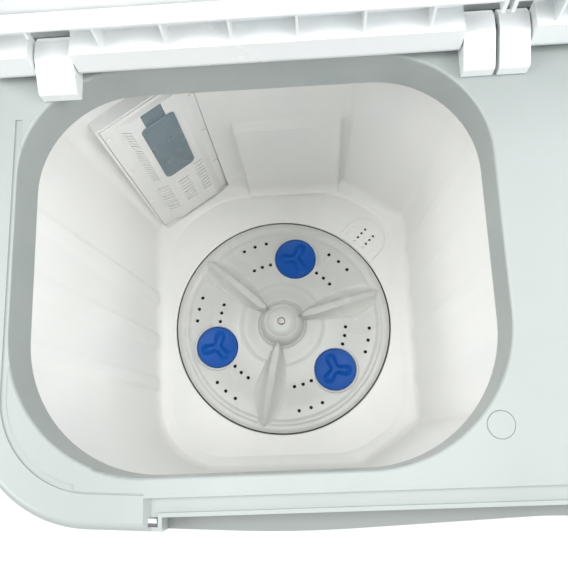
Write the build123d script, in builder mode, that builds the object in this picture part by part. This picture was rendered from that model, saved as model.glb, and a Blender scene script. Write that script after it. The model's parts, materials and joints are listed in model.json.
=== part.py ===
"""Twin-tub washing machine: a wash tub with a pulsator on the left, a spin basket on the right.

Millimetres, +Z up. The origin is the middle of the footprint, on the floor. Both lids stand open.
"""
import os
from math import cos, radians, sin

from build123d import *

os.makedirs("parts", exist_ok=True)

# whole machine
half_width = 370
half_depth = 229
deck_top = 760
sheet = 3                       # wall of the moulded plastic shells
deck_under = deck_top - sheet
skirt_bottom = 728
shell_inset = 6                 # cabinet walls stand this far inside the deck's edge

# feet and base
foot_height = 18
foot_radius = 19
foot_places = (310, 175)
base_top = 58
base_inset = 10
base_floor_top = foot_height + sheet

# lower band along the deck's front, and the finger recess in it
band_half = 236
band_back = -201.4
band_level = deck_top - 5
recess_half = 223
recess_back = -215
recess_floor = 735

# channel between the deck's flat rim and its outer corners
channel_inset = 24.7
channel_width = 5.6
channel_depth = 1.2

# wash side
wash_x, wash_y = -152, -10
cap_x, cap_y, cap_radius = wash_x + 174, wash_y - 149, 10
tub_floor = 345
collar_bottom = 717
well_radius = 146
well_floor = 323
pulsator_radius = 144
disc_circle = 93
disc_radius = 27.5
disc_angles = (77, 197, 317)
vane_angles = (17, 137, 257)
shaft_radius = 7

# spin side
spin_x, spin_y = 208, -14
spin_tub_radius = 136
spin_tub_floor = 290
spin_mouth_radius = 112
basket_radius = 118
basket_bottom = 322
basket_top = 712
spin_shaft_radius = 8

# lids
pivot_y = 147
pivot_z = deck_top + 16
pin_radius = 3
open_angle = 93
lid_under = -15                 # lid heights are measured from the pivot, with the lid closed
lid_over = 9
lid_front = -344
lid_rear = 12
wash_lid_span = (-364, 42)
spin_lid_span = (46, 364)
wash_brackets = ((-321, -290), (18.5, 43))
spin_brackets = ((46.5, 70), (318, 343))

# control panel
panel_front = 172
panel_back = half_depth
panel_half = 366
panel_low = deck_top + 40
panel_high = deck_top + 98
panel_top_front = 214
knob_places = {"wash_timer_knob": -240, "wash_selector_knob": -80, "drain_selector_knob": 80,
               "spin_timer_knob": 240}
knob_radius = 17
knob_shaft_radius = 3

# drive
gearbox_radius = 48
gearbox_bottom = 262
pulley_low, pulley_high = 234, 252
big_pulley_radius = 62
small_pulley_radius = 21
motor_x, motor_y = -282, -70
motor_radius = 58
motor_bottom, motor_top = 112, 222
belt_thickness = 3
brake_low, brake_high = 206, 236
brake_radius = 42
spin_motor_bottom, spin_motor_top = 86, 194

# drain
drain_angle = 45
grille_end = 165
grille_half = 29
valve_distance = 172
valve_x = wash_x + valve_distance * cos(radians(drain_angle))
valve_y = wash_y + valve_distance * sin(radians(drain_angle))
valve_body_bottom = 286
valve_seat = valve_body_bottom + sheet
valve_plug_top = valve_seat + 6.3
spring_top = 331
valve_body_radius = 20
pipe_height = 110
pipe_radius = 12

gap = 0.3


def save(part, name):
    part.label = name
    export_step(part, f"parts/{name}.step")


def polar(x, y, radius, angle):
    """The point at this radius and angle (in degrees) from x, y."""
    return (x + radius * cos(radians(angle)), y + radius * sin(radians(angle)))


def rounded_outline(corners, radii, height, grow=0.0, at=(0, 0)):
    """A closed outline with one radius for each corner, on a level plane."""
    placed = [(x + at[0], y + at[1]) for x, y in corners]
    with BuildSketch(Plane.XY.offset(height)) as outline:
        with BuildLine():
            FilletPolyline(*placed, radius=radii, close=True)
        make_face()
        if grow:
            offset(amount=grow)
    return outline.sketch


def body_outline(inset, height):
    """The machine's plan: square back corners and a front with two shallow bows."""
    corners = [(-half_width, half_depth), (-half_width, -216.4), (-130, -230.5), (53, -224.2),
               (236, -230.5), (half_width, -216.4), (half_width, half_depth)]
    return rounded_outline(corners, [22, 98, 900, 300, 500, 98, 22], height, -inset)


def wash_opening(height, grow=0.0):
    """The wash opening in the deck."""
    corners = [(-190, -177), (190, -177), (190, 149), (-190, 149)]
    return rounded_outline(corners, [110, 110, 88, 88], height, grow, (wash_x, wash_y))


def tub_outline(level, height, grow=0.0):
    """The wash tub's plan, at its floor (level 0) or at its top (level 1)."""
    floor = [(-171, -190), (95, -190), (175, -137), (175, 146), (90, 205), (-82, 205), (-171, 146)]
    top = [(-196, -194), (103, -194), (196, -130), (196, 150), (105, 212), (-105, 212), (-196, 150)]
    corners = [(a + (c - a) * level, b + (d - b) * level) for (a, b), (c, d) in zip(floor, top)]
    radii = [90 + 22 * level, 16, 16, 16, 16, 16, 16]
    return rounded_outline(corners, radii, height, grow, (wash_x, wash_y))


def plate(x0, x1, y0, y1, height):
    """A rectangle between two corners on a level plane."""
    with BuildSketch(Plane.XY.offset(height)) as outline:
        with Locations(((x0 + x1) / 2, (y0 + y1) / 2)):
            Rectangle(x1 - x0, y1 - y0)
    return outline.sketch


# ---- feet and base
with BuildPart() as feet:
    with BuildSketch():
        with GridLocations(2 * foot_places[0], 2 * foot_places[1], 2, 2):
            Circle(foot_radius)
    extrude(amount=foot_height, taper=6)
save(feet.part, "feet")

with BuildPart() as base_frame:
    extrude(body_outline(base_inset, foot_height), amount=base_top - foot_height)
    extrude(body_outline(base_inset + sheet, base_floor_top), amount=base_top, mode=Mode.SUBTRACT)
    for rib_y in (-120, 0, 120):
        extrude(plate(-340, 340, rib_y - 1.5, rib_y + 1.5, base_floor_top), amount=16)
    for rib_x in (-240, -60, 60):
        extrude(plate(rib_x - 1.5, rib_x + 1.5, -200, 200, base_floor_top), amount=16)
    with BuildSketch(Plane.XY.offset(base_floor_top)):
        with Locations((spin_x, spin_y)):
            with PolarLocations(70, 3, 90):
                Circle(13)
    extrude(amount=39)
    with BuildSketch(Plane.XY.offset(base_floor_top)):
        with Locations((motor_x, motor_y)):
            with GridLocations(104, 104, 2, 2):
                Circle(8)
    extrude(amount=83)
save(base_frame.part, "base_frame")

# ---- cabinet
rear_half, rear_low, rear_high = 300, 92, 700
cover_margin = 14
screw_grid = (2 * (rear_half + 7), (rear_high - rear_low + 14) / 3)
rear_face = half_depth - shell_inset
rear_middle = (rear_low + rear_high) / 2
rear_plane = Plane(origin=(0, rear_face, rear_middle), x_dir=(1, 0, 0), z_dir=(0, 1, 0))

with BuildPart() as cabinet_shell:
    extrude(body_outline(shell_inset, 44), amount=deck_under - 44)
    extrude(body_outline(shell_inset + sheet, 44), amount=deck_under - 44, mode=Mode.SUBTRACT)
    with BuildSketch(rear_plane):
        Rectangle(2 * rear_half, rear_high - rear_low)
        with GridLocations(screw_grid[0], screw_grid[1], 2, 4):
            Circle(2)
    extrude(amount=-20, mode=Mode.SUBTRACT)
    with BuildSketch(Plane.YZ.offset(-half_width)):
        with Locations((valve_y, pipe_height)):
            Circle(pipe_radius + 1)
    extrude(amount=20, mode=Mode.SUBTRACT)
    # the front edge is cut down under the deck's finger recess
    extrude(plate(-recess_half - 4, recess_half + 4, -240, -200, recess_floor - sheet - 0.5), amount=40,
            mode=Mode.SUBTRACT)
save(cabinet_shell.part, "cabinet_shell")

with BuildPart() as rear_cover:
    with BuildSketch(rear_plane):
        RectangleRounded(2 * (rear_half + cover_margin), rear_high - rear_low + 2 * cover_margin, 8)
        with GridLocations(screw_grid[0], screw_grid[1], 2, 4):
            Circle(2, mode=Mode.SUBTRACT)
        for bank_x in (-190, 190):
            with Locations((bank_x, -120)):
                with GridLocations(0, 14, 1, 9):
                    SlotOverall(110, 5, mode=Mode.SUBTRACT)
    extrude(amount=2)
    with BuildSketch(rear_plane.offset(-4)):
        for stiffener in (-120, 0, 120):
            with Locations((0, stiffener + 100)):
                Rectangle(2 * rear_half - 40, 6)
    extrude(amount=4)
save(rear_cover.part, "rear_cover")

with BuildPart() as cabinet_screws:
    with BuildSketch(rear_plane.offset(2)):
        with GridLocations(screw_grid[0], screw_grid[1], 2, 4):
            Circle(3.8)
    extrude(amount=1.8)
    with BuildSketch(rear_plane.offset(2)):
        with GridLocations(screw_grid[0], screw_grid[1], 2, 4):
            Circle(1.95)
    extrude(amount=-9)
    with BuildSketch(rear_plane.offset(3.8)):
        with GridLocations(screw_grid[0], screw_grid[1], 2, 4):
            Rectangle(4.4, 0.9)
            Rectangle(0.9, 4.4)
    extrude(amount=-1, mode=Mode.SUBTRACT)
save(cabinet_screws.part, "cabinet_screws")

# ---- deck
deck_screw_places = [(-345, 190), (345, 190), (357, -120), (cap_x, cap_y)]

with BuildPart() as top_deck:
    extrude(body_outline(0, skirt_bottom), amount=deck_top - skirt_bottom)
    fillet(top_deck.faces().sort_by(Axis.Z)[-1].edges(), radius=6)
    extrude(body_outline(sheet, skirt_bottom), amount=deck_under - skirt_bottom, mode=Mode.SUBTRACT)
    # the wash collar hangs inside the tub
    extrude(wash_opening(collar_bottom, sheet), amount=deck_under - collar_bottom)
    extrude(wash_opening(collar_bottom), amount=deck_top, mode=Mode.SUBTRACT)
    fillet(top_deck.faces().sort_by(Axis.Z)[-1].inner_wires()[0].edges(), radius=2.5)
    # the spin collar, with a ledge that carries the inner cover
    with BuildSketch(Plane.XY.offset(735)):
        with Locations((spin_x, spin_y)):
            Circle(spin_mouth_radius + sheet)
    extrude(amount=deck_under - 735)
    with BuildSketch(Plane.XY.offset(749)):
        with Locations((spin_x, spin_y)):
            Circle(spin_mouth_radius)
    extrude(amount=20, mode=Mode.SUBTRACT)
    with BuildSketch(Plane.XY.offset(730)):
        with Locations((spin_x, spin_y)):
            Circle(spin_mouth_radius - 8)
        with Locations((spin_x, spin_y + 106)):
            Rectangle(92, 30)
        with Locations((spin_x, spin_y)):
            Circle(spin_mouth_radius, mode=Mode.INTERSECT)
    extrude(amount=30, mode=Mode.SUBTRACT)
    # lower band along the front, with sloping ends
    extrude(plate(-band_half - sheet, band_half + sheet, recess_back, band_back + sheet,
                  band_level - sheet), amount=deck_under - band_level + sheet)
    with BuildSketch(Plane.XZ.offset(-band_back)):
        with BuildLine():
            Polyline((-band_half - 2, deck_top + 2), (-band_half + 5, band_level),
                     (band_half - 5, band_level), (band_half + 2, deck_top + 2), close=True)
        make_face()
    extrude(amount=40, mode=Mode.SUBTRACT)
    # finger recess along the front
    with BuildSketch(Plane.XY.offset(recess_floor)):
        add(body_outline(0, 0))
        with Locations((0, recess_back - 20)):
            Rectangle(2 * recess_half, 40, mode=Mode.INTERSECT)
    extrude(amount=60, mode=Mode.SUBTRACT)
    with BuildSketch(Plane.XY.offset(recess_floor - sheet)):
        add(body_outline(0, 0))
        with Locations((0, recess_back - 20 + sheet)):
            Rectangle(2 * (recess_half + sheet), 40, mode=Mode.INTERSECT)
    extrude(amount=sheet)
    extrude(plate(-recess_half - sheet, recess_half + sheet, recess_back, recess_back + sheet,
                  recess_floor), amount=deck_under - recess_floor)
    for side in (-1, 1):
        with BuildSketch(Plane.XY.offset(recess_floor)):
            add(body_outline(sheet - 0.5, 0))
            with Locations((side * (recess_half + sheet / 2), recess_back - 20)):
                Rectangle(sheet, 40, mode=Mode.INTERSECT)
        extrude(amount=deck_under - recess_floor)
    # channel round the front corners, narrowing to a groove as it nears the lower band
    for width, gap_half, reach_half in ((channel_width, 287, 400), (1.4, band_half, 290)):
        with BuildSketch(Plane.XY.offset(deck_top - channel_depth)):
            add(body_outline(channel_inset, 0))
            add(body_outline(channel_inset + width, 0), mode=Mode.SUBTRACT)
            Rectangle(2 * gap_half, 600, mode=Mode.SUBTRACT)
            with Locations((0, 250)):
                Rectangle(800, 300, mode=Mode.SUBTRACT)
            Rectangle(2 * reach_half, 600, mode=Mode.INTERSECT)
        extrude(amount=2, mode=Mode.SUBTRACT)
    # water slot behind the lids, cap pocket and screw holes
    with BuildSketch(Plane.XY.offset(deck_under - 1)):
        with Locations((wash_x, 166)):
            SlotOverall(110, 6)
    extrude(amount=10, mode=Mode.SUBTRACT)
    with BuildSketch(Plane.XY.offset(deck_top - 8)):
        with Locations((cap_x, cap_y)):
            Circle(cap_radius + sheet)
    extrude(amount=5)
    with BuildSketch(Plane.XY.offset(deck_top - 5.5)):
        with Locations((cap_x, cap_y)):
            Circle(cap_radius + 0.25)
    extrude(amount=8, mode=Mode.SUBTRACT)
    with BuildSketch(Plane.XY.offset(deck_top - 12)):
        with Locations(*deck_screw_places):
            Circle(2.1)
    extrude(amount=14, mode=Mode.SUBTRACT)
save(top_deck.part, "top_deck")

with BuildPart() as deck_plug_cap:
    with BuildSketch(Plane.XY.offset(deck_top - 3.4)):
        with Locations((cap_x, cap_y)):
            Circle(cap_radius)
    extrude(amount=3.9)
    chamfer(deck_plug_cap.faces().sort_by(Axis.Z)[-1].edges(), length=0.5)
save(deck_plug_cap.part, "deck_plug_cap")

with BuildPart() as deck_screws:
    for place, head_base in zip(deck_screw_places, (deck_top, deck_top, deck_top, deck_top - 5.5)):
        with BuildSketch(Plane.XY.offset(head_base)):
            with Locations(place):
                Circle(4)
        extrude(amount=1.8)
        with BuildSketch(Plane.XY.offset(head_base - 10)):
            with Locations(place):
                Circle(2)
        extrude(amount=10)
        with BuildSketch(Plane.XY.offset(head_base + 0.8)):
            with Locations(place):
                Rectangle(4.6, 1)
                Rectangle(1, 4.6)
        extrude(amount=1.5, mode=Mode.SUBTRACT)
save(deck_screws.part, "deck_screws")

# ---- wash tub
filter_width = 101
filter_pocket_depth = 18
filter_height = 300
filter_across = (0.8327, 0.5535, 0)
filter_out = (0.5535, -0.8327, 0)
filter_plane = Plane(origin=(wash_x - 159.3, wash_y + 151.6, tub_floor), x_dir=filter_across,
                     z_dir=filter_out)


def wall_rib(side, y, reach, height_top):
    """The two end profiles of an upright rib on a side wall, one at the floor, one near the top."""
    profiles = []
    for height in (tub_floor - 0.5, height_top):
        level = (height - tub_floor) / (deck_under - tub_floor)
        wall = 171 + 25 * level if side < 0 else 175 + 21 * level
        root = wash_x + side * (wall + 1.5)
        crest = wash_x + side * (wall - reach)
        with BuildSketch(Plane.XY.offset(height)) as profile:
            with BuildLine():
                Polyline((root, wash_y + y - 9), (crest, wash_y + y - 4), (crest, wash_y + y + 4),
                         (root, wash_y + y + 9), close=True)
            make_face()
        profiles.append(profile.sketch)
    return profiles


def grille_outline(height, grow):
    """The tongue-shaped drain recess that reaches from the pulsator's well to the tub's corner."""
    middle = grille_end - 30
    turned = Plane(origin=(wash_x, wash_y, height), x_dir=(cos(radians(drain_angle)),
                   sin(radians(drain_angle)), 0), z_dir=(0, 0, 1))
    with BuildSketch(turned) as outline:
        with Locations((grille_end, 0)):
            Circle(grille_half + grow)
        with Locations(((middle + grille_end) / 2, 0)):
            Rectangle(grille_end - middle, 2 * (grille_half + grow))
        Circle(well_radius + 1 - grow, mode=Mode.SUBTRACT)
    return outline.sketch


with BuildPart() as wash_tub:
    loft([tub_outline(0, tub_floor - sheet, sheet), tub_outline(1, deck_under, sheet)], ruled=True)
    with BuildSketch(Plane.XY.offset(well_floor - sheet)):
        with Locations((wash_x, wash_y)):
            Circle(well_radius + sheet)
    extrude(amount=tub_floor - well_floor)
    with BuildSketch(Plane.XY.offset(tub_floor - 8)):
        with Locations((valve_x, valve_y)):
            Circle(valve_body_radius + 6)
    extrude(amount=7)
    with BuildSketch(filter_plane):
        with Locations((filter_width / 2, filter_height / 2)):
            Rectangle(filter_width + 12, filter_height + 6)
    extrude(amount=-(filter_pocket_depth + sheet))
    loft([tub_outline(0, tub_floor), tub_outline(1, deck_under)], ruled=True, mode=Mode.SUBTRACT)
    with BuildSketch(filter_plane.offset(1)):
        with Locations((filter_width / 2, filter_height / 2)):
            Rectangle(filter_width + 6, filter_height)
    extrude(amount=-(filter_pocket_depth + 1), mode=Mode.SUBTRACT)
    for rib_y in (43, -15, -73.5):
        loft(wall_rib(-1, rib_y, 4, 700), ruled=True)
    for rib_y in (95, 36, -22, -80):
        loft(wall_rib(1, rib_y, 3, 700), ruled=True)
    # raised panel on the back wall
    loft([plate(wash_x - 42, wash_x + 87, wash_y + 196.5, wash_y + 206, tub_floor - 0.5),
          plate(wash_x - 42, wash_x + 87, wash_y + 199.5, wash_y + 209, tub_floor + 188)], ruled=True)
    # pulsator well with the shaft's bore, and the drain recess with the valve's port
    with BuildSketch(Plane.XY.offset(well_floor)):
        with Locations((wash_x, wash_y)):
            Circle(well_radius)
    extrude(amount=tub_floor - well_floor + 1, mode=Mode.SUBTRACT)
    with BuildSketch(Plane.XY.offset(well_floor - 5)):
        with Locations((wash_x, wash_y)):
            Circle(18)
    extrude(amount=10, mode=Mode.SUBTRACT)
    extrude(grille_outline(tub_floor - 2, 0.3), amount=4, mode=Mode.SUBTRACT)
    with BuildSketch(Plane.XY.offset(tub_floor - 10)):
        with Locations((valve_x, valve_y)):
            Circle(14)
    extrude(amount=12, mode=Mode.SUBTRACT)
    with BuildSketch(Plane.XY.offset(738)):
        with Locations((cap_x, cap_y)):
            Circle(cap_radius + 5)
    extrude(amount=30, mode=Mode.SUBTRACT)
    # the front wall stops short of the deck's lower band
    extrude(plate(-band_half - 4, band_half + 4, -230, band_back + sheet + 0.5, band_level - sheet - 0.5),
            amount=20, mode=Mode.SUBTRACT)
save(wash_tub.part, "wash_tub")

with BuildPart() as drain_grille:
    extrude(grille_outline(tub_floor - 2, 0), amount=2.4)
    turned = Plane(origin=(wash_x, wash_y, tub_floor + 1), x_dir=(cos(radians(drain_angle)),
                   sin(radians(drain_angle)), 0), z_dir=(0, 0, 1))
    with BuildSketch(turned):
        with Locations((grille_end + 0.6, 0)):
            with GridLocations(7.4, 14.6, 4, 2):
                Circle(1.7)
    extrude(amount=-4, mode=Mode.SUBTRACT)
    with BuildSketch(turned):
        with Locations((grille_end - 4.5, 0)):
            with GridLocations(7.4, 43, 3, 2):
                Circle(1.5)
    extrude(amount=-1.6, mode=Mode.SUBTRACT)
save(drain_grille.part, "drain_grille")

# ---- lint filter
window_middle = 54.2
body_width, body_low, body_high = 40.5, 138, 267
tab_width, tab_high = 24, 292


def filter_outline(distance, grow):
    """The lint filter's front: a rounded body with a narrower finger tab above it."""
    with BuildSketch(filter_plane.offset(distance)) as outline:
        with Locations((window_middle, (body_low + body_high) / 2)):
            RectangleRounded(body_width + 2 * grow, body_high - body_low + 2 * grow, 7)
        with Locations((window_middle - 1, (body_high + tab_high) / 2 - 5)):
            Rectangle(tab_width + 2 * grow, tab_high - body_high + 10 + 2 * grow)
    return outline.sketch


with BuildPart() as lint_filter_housing:
    with BuildSketch(filter_plane):
        with Locations((filter_width / 2, filter_height / 2)):
            Rectangle(filter_width + 5, filter_height - 1)
    extrude(amount=-sheet)
    # raised middle with sloping flanks
    with BuildSketch(filter_plane.offset(-0.5)) as raised_foot:
        with Locations((filter_width / 2 + 2, 149)):
            Rectangle(84, 291)
    with BuildSketch(filter_plane.offset(5)) as raised_face:
        with Locations((filter_width / 2 + 4, 149)):
            Rectangle(58, 287)
    loft(ruled=True)
    for wall_u in (-1.5, filter_width + 1.5):
        with BuildSketch(filter_plane.offset(-sheet)):
            with Locations((wall_u, filter_height / 2)):
                Rectangle(2, filter_height - 1)
        extrude(amount=-14)
    extrude(filter_outline(10, 0.4), amount=-20, mode=Mode.SUBTRACT)
    # three columns of water slots, the right one reaching up beside the filter
    for column_u, column_length, rows in ((23, 15, 9), (51, 16, 8), (76, 13, 10)):
        with BuildSketch(filter_plane.offset(10)):
            with Locations((column_u, 45 + 4.6 * (rows - 1))):
                with GridLocations(0, 9.2, 1, rows):
                    SlotOverall(column_length, 3)
        extrude(amount=-20, mode=Mode.SUBTRACT)
    # fine slanting slots on the left flank
    with BuildSketch(filter_plane.offset(10)):
        with Locations((21, 212)):
            with GridLocations(0, 6.4, 1, 21):
                SlotOverall(10, 1.8, rotation=-38)
    extrude(amount=-20, mode=Mode.SUBTRACT)
    with BuildSketch(filter_plane.offset(1)):
        for notch in ((2, 282), (2, 194), (2, 100), (filter_width - 1, 268), (filter_width - 1, 185),
                      (filter_width - 1, 94)):
            with Locations(notch):
                Rectangle(6, 9)
    extrude(amount=-2.6, mode=Mode.SUBTRACT)
save(lint_filter_housing.part, "lint_filter_housing")

with BuildPart() as lint_filter:
    with BuildSketch(filter_plane.offset(-8)):
        with Locations((window_middle, (body_low + body_high) / 2)):
            RectangleRounded(body_width, body_high - body_low, 7)
    extrude(amount=14.5)
    chamfer(lint_filter.faces().sort_by(Axis(filter_plane.origin, filter_out))[-1].edges(), length=1.5)
    with BuildSketch(filter_plane.offset(1)):
        with Locations((window_middle - 1, (body_high + tab_high) / 2 - 5)):
            RectangleRounded(tab_width, tab_high - body_high + 10, 1.5)
    extrude(amount=3.5)
    with BuildSketch(filter_plane.offset(-9)):
        with Locations((window_middle, 202)):
            RectangleRounded(31, 108, 4)
    extrude(amount=12, mode=Mode.SUBTRACT)
save(lint_filter.part, "lint_filter")

with BuildPart() as lint_net:
    with BuildSketch(filter_plane.offset(2.9)) as net_mouth:
        with Locations((window_middle, 202)):
            Rectangle(27, 100)
    with BuildSketch(filter_plane.offset(-15)) as net_toe:
        with Locations((window_middle, 198)):
            Rectangle(20, 92)
    loft(ruled=True)
save(lint_net.part, "lint_net")

# ---- pulsator: dish, hub and three vanes, with three small turning discs
surface_at_disc = tub_floor + 5

with BuildPart() as pulsator:
    with BuildSketch(Plane(origin=(wash_x, wash_y, tub_floor), x_dir=(1, 0, 0), z_dir=(0, -1, 0))):
        with BuildLine():
            Polyline((0, 9), (28, 5), (60, 3), (131, -4), (137, -8), (144, -8), (144, 1), (142, 2.5),
                     (134, 2.5), (132, 1), (130, 1), (60, 8), (33, 11), (30, 9.5))
            Polyline((30, 9.5), (29, 17), (26, 24), (20, 29.5), (11, 33), (0, 33), (0, 9))
        make_face()
    revolve(axis=Axis((wash_x, wash_y, 0), (0, 0, 1)))
    for angle in vane_angles:
        along = (cos(radians(angle)), sin(radians(angle)), 0)
        vane_foot = Plane(origin=(wash_x, wash_y, tub_floor + 0.6), x_dir=along, z_dir=(0, 0, 1))
        sections = []
        for lift, breadth, reach in ((0, 1, 1), (19, 0.2, 0.93)):
            half = [(18, 7), (55, 12), (88, 19.5), (106, 20), (126, 13), (136, 5)]
            lower = [(r * reach, -w * breadth) for r, w in half]
            upper = [(r * reach, w * breadth) for r, w in reversed(half)]
            with BuildSketch(vane_foot.offset(lift)) as section:
                with BuildLine():
                    Polyline(*lower, *upper, close=True)
                make_face()
            sections.append(section.sketch)
        loft(sections, ruled=True)
    with BuildSketch(Plane.XY.offset(tub_floor + 2.2)):
        with Locations((wash_x, wash_y)):
            with PolarLocations(disc_circle, 3, disc_angles[0]):
                Circle(disc_radius + 0.6)
    extrude(amount=8, mode=Mode.SUBTRACT)
    with BuildSketch(Plane.XY.offset(tub_floor + 1)):
        with Locations((wash_x, wash_y)):
            with PolarLocations(disc_circle, 3, disc_angles[0]):
                Circle(4)
    extrude(amount=5)
    with BuildSketch(Plane.XY.offset(tub_floor + 20)):
        for disc_angle in disc_angles:
            for side in (-1, 1):
                for step in (22.3, 30.3, 38.3):
                    with Locations(polar(wash_x, wash_y, 117, disc_angle + side * step),
                                   polar(wash_x, wash_y, 85, disc_angle + side * step)):
                        Circle(2)
    extrude(amount=-40, mode=Mode.SUBTRACT)
    # hub seat for the shaft, screw hole and washer seat
    with BuildSketch(Plane.XY.offset(tub_floor - 2)):
        with Locations((wash_x, wash_y)):
            Circle(shaft_radius + 0.02)
    extrude(amount=24, mode=Mode.SUBTRACT)
    with BuildSketch(Plane.XY.offset(tub_floor + 20)):
        with Locations((wash_x, wash_y)):
            Circle(2.6)
    extrude(amount=20, mode=Mode.SUBTRACT)
    with BuildSketch(Plane.XY.offset(tub_floor + 31.6)):
        with Locations((wash_x, wash_y)):
            Circle(7.6)
    extrude(amount=4, mode=Mode.SUBTRACT)
save(pulsator.part, "pulsator")

with BuildPart() as pulsator_washer:
    with BuildSketch(Plane.XY.offset(tub_floor + 31.6)):
        with Locations((wash_x, wash_y)):
            Circle(7.3)
            Circle(2.6, mode=Mode.SUBTRACT)
    extrude(amount=1)
save(pulsator_washer.part, "pulsator_washer")

with BuildPart() as pulsator_screw:
    with BuildSketch(Plane.XY.offset(tub_floor + 32.6)):
        with Locations((wash_x, wash_y)):
            Circle(5)
    extrude(amount=3)
    fillet(pulsator_screw.faces().sort_by(Axis.Z)[-1].edges(), radius=1.6)
    with BuildSketch(Plane.XY.offset(tub_floor + 8)):
        with Locations((wash_x, wash_y)):
            Circle(2.5)
    extrude(amount=24.7)
    with BuildSketch(Plane.XY.offset(tub_floor + 33.8)):
        with Locations((wash_x, wash_y)):
            Rectangle(5.6, 1.3)
            Rectangle(1.3, 5.6)
    extrude(amount=3, mode=Mode.SUBTRACT)
save(pulsator_screw.part, "pulsator_screw")

for number, disc_angle in enumerate(disc_angles, 1):
    disc_x, disc_y = polar(wash_x, wash_y, disc_circle, disc_angle)
    disc_place = Plane(origin=(disc_x, disc_y, tub_floor + 2.5), x_dir=(1, 0, 0), z_dir=(0, 0, 1))
    with BuildPart() as disc:
        with BuildSketch(disc_place):
            Circle(disc_radius)
        extrude(amount=4.5)
        fillet(disc.faces().sort_by(Axis.Z)[-1].edges(), radius=1.4)
        with BuildSketch(disc_place.offset(4.3)):
            Circle(7)
            with PolarLocations(10, 3, 90):
                Ellipse(10, 4.5)
        extrude(amount=4.2)
        with BuildSketch(disc_place):
            Circle(4.06)
        extrude(amount=3.9, mode=Mode.SUBTRACT)
    save(disc.part, f"pulsator_disc_{number}")

# ---- wash drive
with BuildPart() as pulsator_shaft:
    with BuildSketch(Plane.XY.offset(gearbox_bottom + 16)):
        with Locations((wash_x, wash_y)):
            Circle(shaft_radius)
    extrude(amount=tub_floor + 21.5 - gearbox_bottom - 16)
    with BuildSketch(Plane.XY.offset(tub_floor + 4)):
        with Locations((wash_x, wash_y)):
            Circle(2.52)
    extrude(amount=40, mode=Mode.SUBTRACT)
save(pulsator_shaft.part, "pulsator_shaft")

with BuildPart() as gearbox_housing:
    with BuildSketch(Plane.XY.offset(gearbox_bottom)):
        with Locations((wash_x, wash_y)):
            Circle(gearbox_radius)
    extrude(amount=well_floor - sheet - gearbox_bottom - 6)
    with BuildSketch(Plane.XY.offset(well_floor - sheet - 6)):
        with Locations((wash_x, wash_y)):
            Circle(gearbox_radius + 10)
    extrude(amount=6)
    with BuildSketch(Plane.XY.offset(well_floor - sheet)):
        with Locations((wash_x, wash_y)):
            Circle(17.7)
    extrude(amount=sheet + 2)
    with BuildSketch(Plane.XY.offset(gearbox_bottom + 15)):
        with Locations((wash_x, wash_y)):
            Circle(shaft_radius + 0.06)
    extrude(amount=100, mode=Mode.SUBTRACT)
    with BuildSketch(Plane.XY.offset(gearbox_bottom - 1)):
        with Locations((wash_x, wash_y)):
            Circle(6.06)
    extrude(amount=14, mode=Mode.SUBTRACT)
    with BuildSketch(Plane.XY.offset(well_floor - sheet - 6)):
        with Locations((wash_x, wash_y)):
            with PolarLocations(gearbox_radius + 5, 4, 30):
                Circle(2.2)
    extrude(amount=6, mode=Mode.SUBTRACT)
    with BuildSketch(Plane.XY.offset(gearbox_bottom + 8)):
        with Locations((wash_x, wash_y)):
            Circle(gearbox_radius + 1)
            Circle(gearbox_radius - 1.5, mode=Mode.SUBTRACT)
    extrude(amount=5, mode=Mode.SUBTRACT)
save(gearbox_housing.part, "gearbox_housing")

with BuildPart() as shaft_seal:
    with BuildSketch(Plane.XY.offset(well_floor + 2)):
        with Locations((wash_x, wash_y)):
            Circle(15)
            Circle(shaft_radius + 0.06, mode=Mode.SUBTRACT)
    extrude(amount=7, taper=8)
save(shaft_seal.part, "shaft_seal")


def pulley_profile(radius, bore, low, high):
    """Half section of a V-belt pulley about its own axis."""
    middle = (low + high) / 2
    return [(bore, low), (radius, low), (radius, low + 2), (radius - 7, middle - 3),
            (radius - 7, middle + 3), (radius, high - 2), (radius, high), (bore, high)]


with BuildPart() as gearbox_pulley:
    with BuildSketch(Plane(origin=(wash_x, wash_y, 0), x_dir=(1, 0, 0), z_dir=(0, -1, 0))):
        with BuildLine():
            Polyline(*pulley_profile(big_pulley_radius, 0, pulley_low, pulley_high), close=True)
        make_face()
    revolve(axis=Axis((wash_x, wash_y, 0), (0, 0, 1)))
    with BuildSketch(Plane.XY.offset(pulley_low - 1)):
        with Locations((wash_x, wash_y)):
            with PolarLocations(33, 5):
                Circle(11)
    extrude(amount=40, mode=Mode.SUBTRACT)
    with BuildSketch(Plane.XY.offset(pulley_high - 1)):
        with Locations((wash_x, wash_y)):
            Circle(6)
    extrude(amount=gearbox_bottom + 11 - pulley_high)
save(gearbox_pulley.part, "gearbox_pulley")

with BuildPart() as motor_pulley:
    with BuildSketch(Plane(origin=(motor_x, motor_y, 0), x_dir=(1, 0, 0), z_dir=(0, -1, 0))):
        with BuildLine():
            Polyline(*pulley_profile(small_pulley_radius, 0, pulley_low, pulley_high), close=True)
        make_face()
    revolve(axis=Axis((motor_x, motor_y, 0), (0, 0, 1)))
    with BuildSketch(Plane.XY.offset(motor_top - 30)):
        with Locations((motor_x, motor_y)):
            Circle(5)
    extrude(amount=pulley_low - motor_top + 31)
save(motor_pulley.part, "motor_pulley")

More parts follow.
